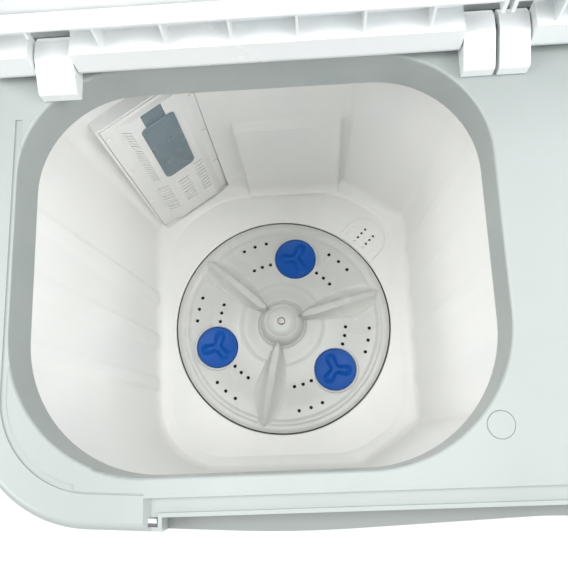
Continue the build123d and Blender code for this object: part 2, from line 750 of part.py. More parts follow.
belt_span = (Vector(motor_x, motor_y) - Vector(wash_x, wash_y)).length
belt_turn = Plane(origin=(wash_x, wash_y, (pulley_low + pulley_high) / 2 - 2.4),
                  x_dir=(motor_x - wash_x, motor_y - wash_y, 0), z_dir=(0, 0, 1))
with BuildPart() as drive_belt:
    with BuildSketch(belt_turn):
        Circle(big_pulley_radius - 6.7 + belt_thickness)
        with Locations((belt_span, 0)):
            Circle(small_pulley_radius - 6.7 + belt_thickness)
        make_hull()
    extrude(amount=4.8)
    with BuildSketch(belt_turn.offset(-1)):
        Circle(big_pulley_radius - 6.7)
        with Locations((belt_span, 0)):
            Circle(small_pulley_radius - 6.7)
        make_hull()
    extrude(amount=8, mode=Mode.SUBTRACT)
save(drive_belt.part, "drive_belt")

with BuildPart() as wash_motor:
    with BuildSketch(Plane.XY.offset(motor_bottom)):
        with Locations((motor_x, motor_y)):
            Circle(motor_radius - 8)
    extrude(amount=motor_top - motor_bottom)
    with BuildSketch(Plane.XY.offset(motor_bottom + 28)):
        with Locations((motor_x, motor_y)):
            Circle(motor_radius)
    extrude(amount=motor_top - motor_bottom - 56)
    with BuildSketch(Plane.XY.offset(motor_top - 28)):
        with Locations((motor_x, motor_y)):
            with PolarLocations(motor_radius - 8, 4, 45):
                Rectangle(16, 12)
    extrude(amount=6)
    with BuildSketch(Plane.XY.offset(motor_top - 32)):
        with Locations((motor_x, motor_y)):
            Circle(5.06)
    extrude(amount=40, mode=Mode.SUBTRACT)
save(wash_motor.part, "wash_motor")

with BuildPart() as motor_bracket:
    with BuildSketch(Plane.XY.offset(104)):
        with Locations((motor_x, motor_y)):
            RectangleRounded(126, 126, 12)
            with GridLocations(104, 104, 2, 2):
                Circle(3, mode=Mode.SUBTRACT)
            Circle(22, mode=Mode.SUBTRACT)
    extrude(amount=8)
save(motor_bracket.part, "motor_bracket")

with BuildPart() as motor_capacitor:
    with BuildSketch(Plane.XY.offset(base_floor_top)):
        with Locations((10, -90)):
            Circle(21)
    extrude(amount=74)
    fillet(motor_capacitor.faces().sort_by(Axis.Z)[-1].edges(), radius=3)
    with BuildSketch(Plane.XY.offset(base_floor_top + 74)):
        with Locations((4, -90), (16, -90)):
            Rectangle(1, 6)
    extrude(amount=8)
save(motor_capacitor.part, "motor_capacitor")

# ---- spin side
with BuildPart() as spin_outer_tub:
    with BuildSketch(Plane.XY.offset(spin_tub_floor - sheet)):
        with Locations((spin_x, spin_y)):
            Circle(spin_tub_radius + sheet)
    extrude(amount=deck_under - spin_tub_floor + sheet)
    with BuildSketch(Plane.XY.offset(spin_tub_floor)):
        with Locations((spin_x, spin_y)):
            Circle(spin_tub_radius)
    extrude(amount=deck_top, mode=Mode.SUBTRACT)
    with BuildSketch(Plane.XY.offset(spin_tub_floor - sheet - 1)):
        with Locations((spin_x, spin_y)):
            Circle(30)
        with Locations((spin_x - 90, spin_y + 60)):
            Circle(12)
    extrude(amount=20, mode=Mode.SUBTRACT)
save(spin_outer_tub.part, "spin_outer_tub")

with BuildPart() as bellows_seal:
    with BuildSketch(Plane(origin=(spin_x, spin_y, 0), x_dir=(1, 0, 0), z_dir=(0, -1, 0))):
        with BuildLine():
            Polyline((spin_shaft_radius + 0.07, 302), (spin_shaft_radius + 0.07, 294), (16, 292),
                     (20, 282), (24, 286), (29.8, 284), (29.8, 287), (36, 290), (36, 292.5),
                     (24, 292.5), (18, 300), (14, 302), close=True)
        make_face()
    revolve(axis=Axis((spin_x, spin_y, 0), (0, 0, 1)))
    with BuildSketch(Plane.XY.offset(280)):
        with Locations((spin_x, spin_y)):
            Circle(60)
            Circle(29.7, mode=Mode.SUBTRACT)
    extrude(amount=10, mode=Mode.SUBTRACT)
save(bellows_seal.part, "bellows_seal")

with BuildPart() as spin_basket:
    with BuildSketch(Plane(origin=(spin_x, spin_y, 0), x_dir=(1, 0, 0), z_dir=(0, -1, 0))):
        with BuildLine():
            Polyline((spin_shaft_radius + 0.02, basket_bottom), (basket_radius - 14, basket_bottom),
                     (basket_radius, basket_bottom + 14), (basket_radius, basket_top),
                     (basket_radius - 2, basket_top), (basket_radius - 2, basket_bottom + 15),
                     (basket_radius - 15, basket_bottom + 2.5), (30, basket_bottom + 2.5),
                     (24, basket_bottom + 16), (spin_shaft_radius + 0.02, basket_bottom + 16),
                     close=True)
        make_face()
    revolve(axis=Axis((spin_x, spin_y, 0), (0, 0, 1)))
    for row in range(8):
        hole_height = basket_bottom + 42 + row * 44
        for turn in range(6):
            direction = (cos(radians(turn * 30 + 15 * (row % 2))),
                         sin(radians(turn * 30 + 15 * (row % 2))), 0)
            with BuildSketch(Plane(origin=(spin_x, spin_y, hole_height), z_dir=direction)):
                Circle(2.6)
            extrude(amount=basket_radius + 5, both=True, mode=Mode.SUBTRACT)
save(spin_basket.part, "spin_basket")

with BuildPart() as basket_balance_ring:
    with BuildSketch(Plane.XY.offset(basket_top)):
        with Locations((spin_x, spin_y)):
            Circle(basket_radius)
            Circle(98, mode=Mode.SUBTRACT)
    extrude(amount=18)
    fillet(basket_balance_ring.faces().sort_by(Axis.Z)[-1].edges(), radius=4)
save(basket_balance_ring.part, "basket_balance_ring")

with BuildPart() as spin_shaft:
    with BuildSketch(Plane.XY.offset(spin_motor_top - 40)):
        with Locations((spin_x, spin_y)):
            Circle(spin_shaft_radius)
    extrude(amount=basket_bottom + 24 - spin_motor_top + 40)
save(spin_shaft.part, "spin_shaft")

with BuildPart() as basket_nut:
    with BuildSketch(Plane.XY.offset(basket_bottom + 16)):
        with Locations((spin_x, spin_y)):
            RegularPolygon(14, 6)
            Circle(spin_shaft_radius + 0.02, mode=Mode.SUBTRACT)
    extrude(amount=7)
save(basket_nut.part, "basket_nut")

with BuildPart() as brake_drum:
    with BuildSketch(Plane.XY.offset(brake_low)):
        with Locations((spin_x, spin_y)):
            Circle(brake_radius)
            Circle(spin_shaft_radius + 0.02, mode=Mode.SUBTRACT)
    extrude(amount=brake_high - brake_low)
    with BuildSketch(Plane.XY.offset(brake_low + 5)):
        with Locations((spin_x, spin_y)):
            Circle(brake_radius - 4)
            Circle(16, mode=Mode.SUBTRACT)
    extrude(amount=40, mode=Mode.SUBTRACT)
save(brake_drum.part, "brake_drum")

# The band is anchored on the motor's plate; the lever pulls its free end when the lid opens.
lever_x, lever_y = spin_x + 64, spin_y + 36
with BuildPart() as brake_band:
    with BuildSketch(Plane.XY.offset(brake_low + 6)):
        with Locations((spin_x, spin_y)):
            Circle(brake_radius + 3)
            Circle(brake_radius + 0.8, mode=Mode.SUBTRACT)
        with Locations((spin_x + 40, spin_y + 40)):
            Rectangle(48, 48, mode=Mode.SUBTRACT)
        with Locations((spin_x + 14, spin_y + brake_radius + 6)):
            Rectangle(4, 12)
    extrude(amount=16)
save(brake_band.part, "brake_band")

with BuildPart() as brake_lever:
    with BuildSketch(Plane.XY.offset(brake_low + 8)):
        with Locations((lever_x, lever_y)):
            Circle(8)
        with Locations((lever_x - 2, lever_y + 20)):
            Rectangle(8, 44)
        with Locations((lever_x, lever_y)):
            Circle(3.06, mode=Mode.SUBTRACT)
    extrude(amount=6)
save(brake_lever.part, "brake_lever")

with BuildPart() as spin_motor:
    with BuildSketch(Plane.XY.offset(spin_motor_bottom + 6)):
        with Locations((spin_x, spin_y)):
            Circle(52)
    extrude(amount=spin_motor_top - spin_motor_bottom - 6)
    with BuildSketch(Plane.XY.offset(spin_motor_bottom + 30)):
        with Locations((spin_x, spin_y)):
            Circle(60)
    extrude(amount=50)
    with BuildSketch(Plane.XY.offset(spin_motor_bottom)):
        with Locations((spin_x, spin_y)):
            Circle(86)
    extrude(amount=6)
    with BuildSketch(Plane.XY.offset(spin_motor_top - 3)):
        with Locations((spin_x, spin_y)):
            Circle(50)
        with Locations((lever_x, lever_y)):
            Circle(12)
        with Locations((spin_x + 45, spin_y + 26)):
            Rectangle(48, 24, rotation=30)
    extrude(amount=3)
    with BuildSketch(Plane.XY.offset(spin_motor_top)):
        with Locations((lever_x, lever_y)):
            Circle(6)
    extrude(amount=brake_low + 7.6 - spin_motor_top)
    with BuildSketch(Plane.XY.offset(spin_motor_top)):
        with Locations((lever_x, lever_y)):
            Circle(3)
    extrude(amount=brake_low + 16 - spin_motor_top)
    with BuildSketch(Plane.XY.offset(spin_motor_top - 41)):
        with Locations((spin_x, spin_y)):
            Circle(spin_shaft_radius + 0.06)
    extrude(amount=60, mode=Mode.SUBTRACT)
save(spin_motor.part, "spin_motor")

with BuildPart() as spin_motor_mounts:
    with BuildSketch(Plane(origin=(spin_x, spin_y, 60), x_dir=(0, 1, 0), z_dir=(0, 0, 1))):
        with PolarLocations(70, 3):
            Circle(12)
    extrude(amount=spin_motor_bottom - 60)
    with BuildSketch(Plane(origin=(spin_x, spin_y, 70), x_dir=(0, 1, 0), z_dir=(0, 0, 1))):
        with PolarLocations(70, 3):
            Circle(13)
            Circle(9, mode=Mode.SUBTRACT)
    extrude(amount=6, mode=Mode.SUBTRACT)
save(spin_motor_mounts.part, "spin_motor_mounts")

# ---- inner safety cover over the basket
cover_pivot_y = spin_y + 103
cover_pivot_z = 755
with BuildPart() as spin_cover:
    with BuildSketch(Plane.XY.offset(749.4)):
        with Locations((spin_x, spin_y)):
            Circle(spin_mouth_radius - 1.5)
        with Locations((spin_x, spin_y - 6)):
            Rectangle(240, 224, mode=Mode.INTERSECT)
    extrude(amount=2.4)
    with BuildSketch(Plane.XY.offset(751.6)):
        with Locations((spin_x, spin_y)):
            Circle(92)
            Circle(88, mode=Mode.SUBTRACT)
    extrude(amount=2.4)
    with BuildSketch(Plane.XY.offset(745)):
        with Locations((spin_x, spin_y - 66)):
            SlotOverall(62, 24)
    extrude(amount=20, mode=Mode.SUBTRACT)
    with BuildSketch(Plane.XY.offset(745)):
        with Locations((spin_x, spin_y)):
            for ring in (24, 40):
                with PolarLocations(ring, ring // 3):
                    Circle(3.2)
    extrude(amount=20, mode=Mode.SUBTRACT)
    for side in (-1, 1):
        with BuildSketch(Plane(origin=(spin_x + side * 27, cover_pivot_y, cover_pivot_z),
                               x_dir=(0, 1, 0), z_dir=(1, 0, 0))):
            Circle(3.4)
            with Locations((0, -2.6)):
                Rectangle(6.8, 5.2)
            Circle(1.56, mode=Mode.SUBTRACT)
        extrude(amount=7, both=True)
save(spin_cover.part, "spin_cover")

# ---- lids, built about their pivot and standing open
lid_tilt = radians(open_angle)
lid_plane = Plane(origin=(0, pivot_y, pivot_z), x_dir=(1, 0, 0),
                  z_dir=(0, sin(lid_tilt), cos(lid_tilt)))
side_plane = Plane(origin=(0, pivot_y, pivot_z), x_dir=(0, 1, 0), z_dir=(1, 0, 0))


def lid_outline(x0, x1, y0, y1, height, front_radius=0.0):
    """A rectangle in a lid's own plane, its two front corners rounded."""
    with BuildSketch(lid_plane.offset(height)) as outline:
        with Locations(((x0 + x1) / 2, (y0 + y1) / 2)):
            Rectangle(x1 - x0, y1 - y0)
        if front_radius:
            fillet(outline.vertices().group_by(Axis.Y)[0], front_radius)
    return outline.sketch


def make_lid(span, brackets, name):
    """A ribbed lid with a notch for each hinge bracket."""
    left, right = span
    with BuildPart() as lid:
        extrude(lid_outline(left, right, lid_front, lid_rear, lid_under, 34), amount=lid_over - lid_under)
        fillet(lid.faces().sort_by(Axis.Y)[-1].edges(), radius=5)
        extrude(lid_outline(left + 3, right - 3, lid_front + 3, -20, lid_under, 31),
                amount=lid_over - lid_under - 3, mode=Mode.SUBTRACT)
        for rib in range(1, 8):
            rib_x = left + (right - left) * rib / 8
            extrude(lid_outline(rib_x - 1, rib_x + 1, -46, -19, lid_under + 3), amount=15.5)
        extrude(lid_outline(left + 2, right - 2, -48, -46, lid_under + 3), amount=15.5)
        # the rear lower edge is round about the pivot, so that it turns clear of the deck
        with BuildSketch(Plane(origin=(left - 1, pivot_y, pivot_z), x_dir=lid_plane.y_dir,
                               z_dir=(1, 0, 0))):
            with Locations((15, 0)):
                Rectangle(30, 60)
            Circle(15.2, mode=Mode.SUBTRACT)
        extrude(amount=right - left + 2, mode=Mode.SUBTRACT)
        for low, high in brackets:
            extrude(lid_outline(low - 1.2, high + 1.2, -38, 20, lid_under - 1), amount=40,
                    mode=Mode.SUBTRACT)
        with BuildSketch(side_plane.offset(left - 1)):
            Circle(pin_radius + 0.06)
        extrude(amount=right - left + 2, mode=Mode.SUBTRACT)
    save(lid.part, name)


make_lid(wash_lid_span, wash_brackets, "wash_lid")
make_lid(spin_lid_span, spin_brackets, "spin_lid")

with BuildPart() as hinge_brackets:
    for low, high in wash_brackets + spin_brackets:
        with BuildSketch(side_plane.offset(low)):
            with BuildLine():
                FilletPolyline((-33, -15.8), (14, -15.8), (14, 4), (6, 9.5), (-8, 9.5), (-33, -3),
                               radius=[2, 4, 4, 5, 5, 4], close=True)
            make_face()
            Circle(pin_radius, mode=Mode.SUBTRACT)
        extrude(amount=high - low)
save(hinge_brackets.part, "hinge_brackets")

with BuildPart() as hinge_pins:
    for low, high in wash_brackets + spin_brackets:
        start = max(low - 14, wash_lid_span[0] + 2)
        end = min(high + 14, spin_lid_span[1] - 2)
        if high == wash_brackets[1][1]:
            end = high
        if low == spin_brackets[0][0]:
            start = low
        with BuildSketch(side_plane.offset(start)):
            Circle(pin_radius)
        extrude(amount=end - start)
    with BuildSketch(Plane(origin=(spin_x - 43, cover_pivot_y, cover_pivot_z), x_dir=(0, 1, 0),
                           z_dir=(1, 0, 0))):
        Circle(1.5)
    extrude(amount=86)
save(hinge_pins.part, "hinge_pins")

# ---- control panel
slope = Vector(0, panel_top_front - panel_front, panel_high - panel_low).normalized()
panel_normal = Vector(0, -slope.Z, slope.Y)
slope_middle = ((panel_front + panel_top_front) / 2, (panel_low + panel_high) / 2)


def knob_plane(x, lift):
    """The plane of a knob's place on the slanted face, lifted along the face's normal."""
    origin = Vector(x, slope_middle[0], slope_middle[1]) + panel_normal * lift
    return Plane(origin=origin, x_dir=(1, 0, 0), z_dir=panel_normal)


with BuildPart() as control_panel:
    with BuildSketch(Plane.YZ.offset(-panel_half)):
        with BuildLine():
            Polyline((panel_front, deck_top), (panel_front, panel_low), (panel_top_front, panel_high),
                     (panel_back, panel_high), (panel_back, deck_top), close=True)
        make_face()
    extrude(amount=2 * panel_half)
    front_edges = control_panel.edges().filter_by(Axis.X).sort_by(Axis.Z)
    fillet(front_edges[-4:], radius=5)
    with BuildSketch(Plane.YZ.offset(-panel_half + sheet)):
        with BuildLine():
            Polyline((panel_front + sheet, deck_top - 1), (panel_front + sheet, panel_low - 1),
                     (panel_top_front + 1.5, panel_high - sheet), (panel_back + 1, panel_high - sheet),
                     (panel_back + 1, deck_top - 1), close=True)
        make_face()
    extrude(amount=2 * (panel_half - sheet), mode=Mode.SUBTRACT)
    for x in knob_places.values():
        with BuildSketch(knob_plane(x, 5)):
            Circle(4.2)
        extrude(amount=-12, mode=Mode.SUBTRACT)
    with BuildSketch(Plane.XY.offset(panel_high - 10)):
        with Locations((-300, 221)):
            Circle(6)
    extrude(amount=20, mode=Mode.SUBTRACT)
save(control_panel.part, "control_panel")

with BuildPart() as panel_back_cover:
    with BuildSketch(Plane(origin=(0, panel_back, (deck_top + panel_high) / 2), x_dir=(1, 0, 0),
                           z_dir=(0, 1, 0))):
        Rectangle(2 * (panel_half - sheet) - 0.6, panel_high - deck_top - 2 * sheet - 0.6)
    extrude(amount=-2)
save(panel_back_cover.part, "panel_back_cover")

with BuildPart() as panel_fascia:
    with BuildSketch(knob_plane(0, 0)):
        RectangleRounded(690, 54, 6)
        for x in knob_places.values():
            with Locations((x, 0)):
                Circle(4.2, mode=Mode.SUBTRACT)
    extrude(amount=1.2)
save(panel_fascia.part, "panel_fascia")

for name, x in knob_places.items():
    with BuildPart() as knob:
        with BuildSketch(knob_plane(x, 1.8)):
            Circle(knob_radius)
        extrude(amount=4)
        with BuildSketch(knob_plane(x, 5.8)):
            Circle(knob_radius - 3)
        extrude(amount=10, taper=5)
        fillet(knob.faces().sort_by(Axis(origin=(0, 0, 0), direction=panel_normal))[-1].edges(), 1.5)
        with BuildSketch(knob_plane(x, 1.8)):
            Circle(knob_shaft_radius)
        extrude(amount=-16)
        with BuildSketch(knob_plane(x, 15)):
            with Locations((0, 8)):
                Rectangle(2, 9)
        extrude(amount=3, mode=Mode.SUBTRACT)
    save(knob.part, name)

switch_groups = {"wash_timer": ["wash_timer_knob"], "spin_timer": ["spin_timer_knob"],
                 "selector_switches": ["wash_selector_knob", "drain_selector_knob"]}
for name, knobs in switch_groups.items():
    with BuildPart() as switch:
        for knob_name in knobs:
            x = knob_places[knob_name]
            with BuildSketch(knob_plane(x, -4.2)):
                RectangleRounded(52, 27, 3)
            extrude(amount=-20)
            with BuildSketch(knob_plane(x, -3)):
                Circle(knob_shaft_radius + 0.06)
            extrude(amount=-13, mode=Mode.SUBTRACT)
    save(switch.part, name)

with BuildPart() as water_inlet_spigot:
    with BuildSketch(Plane.XY.offset(panel_high)):
        with Locations((-300, 216)):
            RegularPolygon(12, 6)
    extrude(amount=6)
    with BuildSketch(Plane.XY.offset(panel_high + 6)):
        with Locations((-300, 216)):
            Circle(10)
    extrude(amount=20)
    with BuildSketch(Plane.XY.offset(panel_high + 2)):
        with Locations((-300, 216)):
            Circle(7)
    extrude(amount=40, mode=Mode.SUBTRACT)
save(water_inlet_spigot.part, "water_inlet_spigot")

with BuildPart() as water_spout:
    with BuildSketch(Plane.XY.offset(deck_top)):
        with Locations((wash_x, 167.5)):
            Rectangle(118, 9)
    extrude(amount=14)
    with BuildSketch(Plane.XY.offset(deck_top - 1)):
        with Locations((wash_x, 167)):
            Rectangle(112, 5)
    extrude(amount=12, mode=Mode.SUBTRACT)
save(water_spout.part, "water_spout")

# ---- drain valve under the tub
with BuildPart() as drain_valve_body:
    with BuildSketch(Plane.XY.offset(valve_body_bottom)):
        with Locations((valve_x, valve_y)):
            Circle(valve_body_radius)
    extrude(amount=tub_floor - 8 - valve_body_bottom)
    with BuildSketch(Plane.XY.offset(valve_body_bottom + sheet)):
        with Locations((valve_x, valve_y)):
            Circle(valve_body_radius - sheet)
    extrude(amount=60, mode=Mode.SUBTRACT)
    with BuildSketch(Plane.XY.offset(spring_top)):
        with Locations((valve_x, valve_y)):
            Circle(valve_body_radius - 1)
            Circle(7, mode=Mode.SUBTRACT)
            with PolarLocations(11.5, 6):
                Circle(2.5, mode=Mode.SUBTRACT)
    extrude(amount=sheet)
    with BuildSketch(Plane.XY.offset(valve_body_bottom - 1)):
        with Locations((valve_x, valve_y)):
            Circle(pipe_radius - 2)
    extrude(amount=10, mode=Mode.SUBTRACT)
save(drain_valve_body.part, "drain_valve_body")

with BuildPart() as drain_valve_plug:
    with BuildSketch(Plane.XY.offset(valve_seat + gap)):
        with Locations((valve_x, valve_y)):
            Circle(14)
    extrude(amount=valve_plug_top - valve_seat - gap)
    with BuildSketch(Plane.XY.offset(valve_plug_top)):
        with Locations((valve_x, valve_y)):
            Circle(3)
    extrude(amount=18)
save(drain_valve_plug.part, "drain_valve_plug")

spring_wire = 0.8
with BuildPart() as valve_spring:
    spring_foot = (valve_x, valve_y, valve_plug_top + spring_wire + 0.1)
    with BuildLine():
        Helix(pitch=5.5, height=spring_top - valve_plug_top - 2 * spring_wire - 0.2, radius=8,
              center=spring_foot)
    with BuildSketch(Plane(origin=(valve_x + 8, valve_y, spring_foot[2]), z_dir=(0, 1, 0.109))):
        Circle(spring_wire)
    sweep()
save(valve_spring.part, "valve_spring")

with BuildPart() as drain_pipe:
    with BuildLine() as pipe_route:
        FilletPolyline((valve_x, valve_y, valve_body_bottom), (valve_x, valve_y, pipe_height),
                       (-half_width, valve_y, pipe_height), radius=45)
    with BuildSketch(Plane(origin=(valve_x, valve_y, valve_body_bottom), z_dir=(0, 0, -1))):
        Circle(pipe_radius)
        Circle(pipe_radius - 2, mode=Mode.SUBTRACT)
    sweep()
save(drain_pipe.part, "drain_pipe")
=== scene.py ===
import json
import math
import bmesh
import bpy
from mathutils import Matrix, Vector


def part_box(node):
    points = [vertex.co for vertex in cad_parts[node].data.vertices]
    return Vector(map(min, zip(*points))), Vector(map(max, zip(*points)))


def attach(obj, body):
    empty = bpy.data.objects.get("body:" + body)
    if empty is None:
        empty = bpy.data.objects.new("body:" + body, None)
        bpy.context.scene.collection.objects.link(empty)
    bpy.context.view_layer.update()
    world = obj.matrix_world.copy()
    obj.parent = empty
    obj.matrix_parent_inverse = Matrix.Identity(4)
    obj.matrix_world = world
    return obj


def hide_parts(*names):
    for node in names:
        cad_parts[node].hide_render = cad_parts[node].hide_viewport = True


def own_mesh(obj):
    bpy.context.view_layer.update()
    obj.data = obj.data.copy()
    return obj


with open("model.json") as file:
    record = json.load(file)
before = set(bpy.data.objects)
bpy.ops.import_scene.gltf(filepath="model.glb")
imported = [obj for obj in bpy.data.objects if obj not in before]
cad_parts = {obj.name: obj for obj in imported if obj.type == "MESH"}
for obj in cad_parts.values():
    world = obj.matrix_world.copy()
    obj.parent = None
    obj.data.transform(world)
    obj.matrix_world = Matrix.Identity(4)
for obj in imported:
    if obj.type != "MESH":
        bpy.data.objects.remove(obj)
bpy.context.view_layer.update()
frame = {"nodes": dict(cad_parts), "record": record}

mm = 0.001

# places, all read from the frame
dishLow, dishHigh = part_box("pulsator")
washAxis = Vector(((dishLow.x + dishHigh.x) / 2, (dishLow.y + dishHigh.y) / 2, 0))
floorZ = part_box("drain_grille")[0].z + 2 * mm
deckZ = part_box("deck_plug_cap")[1].z - 0.5 * mm
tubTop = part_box("wash_tub")[1].z
print("frame loaded", len(frame["nodes"]), "nodes")


# a socket that takes plain arithmetic, each step adding a Math node
class Sock:
    def __init__(self, tree, socket):
        self.tree = tree
        self.socket = socket

    def join(self, kind, other, swap=False):
        node = self.tree.nodes.new("ShaderNodeMath")
        node.operation = kind
        first, second = (other, self) if swap else (self, other)
        for slotIn, value in zip(node.inputs, (first, second)):
            if isinstance(value, Sock):
                self.tree.links.new(value.socket, slotIn)
            else:
                slotIn.default_value = value
        return Sock(self.tree, node.outputs[0])

    def __add__(self, other):
        return self.join("ADD", other)

    def __radd__(self, other):
        return self.join("ADD", other, True)

    def __mul__(self, other):
        return self.join("MULTIPLY", other)

    def __rmul__(self, other):
        return self.join("MULTIPLY", other, True)


# one material and the means to wire it
class Finish:
    def __init__(self, name):
        self.material = bpy.data.materials.new(name)
        self.material.use_nodes = True
        self.tree = self.material.node_tree
        self.shader = self.tree.nodes["Principled BSDF"]

    def node(self, kind, settings=None, out=0, **sockets):
        made = self.tree.nodes.new("ShaderNode" + kind)
        for key, value in (settings or {}).items():
            setattr(made, key, value)
        for key, value in sockets.items():
            self.feed(made.inputs[key.replace("_", " ")], value)
        return Sock(self.tree, made.outputs[out])

    def feed(self, target, value):
        if isinstance(value, Sock):
            self.tree.links.new(value.socket, target)
        elif target.type == "RGBA":
            target.default_value = (*value, 1)
        else:
            target.default_value = value

    def set(self, **sockets):
        for key, value in sockets.items():
            self.feed(self.shader.inputs[key.replace("_", " ")], value)

    def place(self, scale=(1, 1, 1)):
        where = self.node("TexCoord", out=3)
        if scale == (1, 1, 1):
            return where
        return self.node("Mapping", Vector=where, Scale=scale)

    def noise(self, scale, detail=3.0, rough=0.5, stretch=(1, 1, 1), distort=0.0):
        return self.node("TexNoise", Vector=self.place(stretch), Scale=scale, Detail=detail,
                         Roughness=rough, Distortion=distort)

    def ramp(self, value, low, high):
        return self.node("MapRange", {"clamp": True, "interpolation_type": "SMOOTHSTEP"}, Value=value,
                         From_Min=low, From_Max=high)

    def coordinate(self, index):
        return self.node("SeparateXYZ", out=index, Vector=self.place())

    def mix(self, factor, first, second):
        made = self.tree.nodes.new("ShaderNodeMix")
        made.data_type = "RGBA"
        for index, value in ((0, factor), (6, first), (7, second)):
            self.feed(made.inputs[index], value)
        return Sock(self.tree, made.outputs[2])

    # each layer is a height and its depth in metres
    def bump(self, *layers):
        normal = None
        for height, depth in layers:
            made = self.tree.nodes.new("ShaderNodeBump")
            made.inputs["Distance"].default_value = depth
            self.feed(made.inputs["Height"], height)
            if normal is not None:
                self.tree.links.new(normal.socket, made.inputs["Normal"])
            normal = Sock(self.tree, made.outputs[0])
        self.set(Normal=normal)


def darker(colour, share):
    return tuple(part * share for part in colour)


# colour drift, flow marks, fine grain, dried drops and rubbed spots; darkBelow is a height under which the
# plastic is in shadow, shadeFront the height and depth of a shaded recess
def mouldedPlastic(name, colour, shade, rough, coat=0.0, grain=0.00003, wear=0.25, waxy=0.0, darkBelow=None,
                   shine=0.5, dimples=0.0, shadeFront=None):
    look = Finish(name)
    drift = look.ramp(look.noise(5.0, 3.0), 0.35, 0.7)
    flow = look.ramp(look.noise(22.0, 4.0, 0.6, (1, 1, 0.25), 0.6), 0.45, 0.75)
    rubbed = look.ramp(look.noise(60.0, 5.0, 0.65), 0.56, 0.74)
    specks = look.ramp(look.node("TexVoronoi", Vector=look.place(), Scale=150.0), 0.05, 0.02)
    speckMask = specks * look.ramp(look.noise(9.0, 2.0), 0.52, 0.66)
    tone = look.mix(drift * 0.55 + flow * 0.25, colour, shade)
    tone = look.mix(speckMask * wear * 0.5, tone, darker(colour, 0.72))
    if shadeFront is not None:
        low = look.ramp(look.coordinate(2), shadeFront[0], shadeFront[0] - mm)
        front = look.ramp(look.coordinate(1), shadeFront[1], shadeFront[1] - mm)
        tone = look.mix(low * front * 0.8, tone, darker(colour, 0.5))
    if darkBelow is not None:
        lit = look.ramp(look.coordinate(2), darkBelow - 1.5 * mm, darkBelow)
        tone = look.mix(lit, (0.035, 0.037, 0.035), tone)
    look.set(Base_Color=tone, Roughness=rough + drift * 0.05 + rubbed * 0.10 * wear + speckMask * 0.08)
    layers = [(look.noise(900.0, 2.0, 0.6), grain), (flow, grain), (speckMask, 0.00004)]
    if dimples:
        layers.append((look.node("TexVoronoi", Vector=look.place(), Scale=520.0), dimples))
    look.bump(*layers)
    look.set(Coat_Weight=coat, Coat_Roughness=0.12, Subsurface_Weight=waxy,
             Subsurface_Radius=(4 * mm, 4 * mm, 4 * mm), Specular_IOR_Level=shine)
    return look.material


# bright metal with fine turning marks and a little tarnish
def turnedSteel(name, colour, rough):
    look = Finish(name)
    marks = look.node("TexWave", {"bands_direction": "Z"}, Vector=look.place(), Scale=150.0,
                      Distortion=2.0, Detail=3.0)
    tarnish = look.ramp(look.noise(120.0, 4.0, 0.7), 0.5, 0.72)
    look.set(Base_Color=look.mix(tarnish * 0.5, colour, darker(colour, 0.6)),
             Roughness=rough + tarnish * 0.18 + marks * 0.06, Metallic=1.0)
    look.bump((marks, 0.00001), (tarnish, 0.00001))
    return look.material


# cast or pressed metal, bare or under thin paint
def castMetal(name, colour, rough, paint):
    look = Finish(name)
    grit = look.noise(700.0, 4.0, 0.7)
    worn = look.ramp(look.noise(40.0, 5.0, 0.65), 0.6, 0.72)
    look.set(Base_Color=look.mix(worn * 0.6, colour, darker(colour, 0.55)),
             Roughness=rough + grit * 0.12, Metallic=worn * 0.5 + (0.0 if paint else 0.7))
    look.bump((grit, 0.00008))
    return look.material


# dark rubber with pale dust
def mouldedRubber(name, colour):
    look = Finish(name)
    dust = look.ramp(look.noise(30.0, 5.0, 0.6), 0.5, 0.75)
    look.set(Base_Color=look.mix(dust * 0.5, colour, tuple(c * 1.6 + 0.03 for c in colour)),
             Roughness=0.62 + dust * 0.2)
    look.bump((look.noise(1400.0, 2.0), 0.00004), (dust, 0.00003))
    return look.material


# a fine net of crossing threads
def nylonNet(name):
    look = Finish(name)
    upright, level = [look.ramp(look.node("TexWave", {"bands_direction": direction}, Vector=look.place(),
                                          Scale=260.0), 0.55, 0.8) for direction in ("X", "Z")]
    threads = upright.join("MAXIMUM", level)
    fluff = look.ramp(look.noise(80.0, 5.0, 0.7), 0.5, 0.7)
    look.set(Base_Color=look.mix(threads, (0.30, 0.34, 0.37), (0.72, 0.74, 0.73)),
             Roughness=0.7 + fluff * 0.15)
    look.bump((threads, 0.0002), (fluff, 0.0001))
    return look.material


# satin film on the control panel
def gridFilm(name, colour, lines):
    look = Finish(name)
    weave = look.node("TexWave", {"bands_direction": "X"}, Vector=look.place(), Scale=400.0)
    drift = look.ramp(look.noise(8.0, 3.0), 0.35, 0.7)
    tone = look.mix(drift * 0.5, colour, lines)
    look.set(Base_Color=tone, Roughness=0.32 + weave * 0.05)
    look.bump((weave, 0.00001))
    look.set(Coat_Weight=0.3)
    return look.material


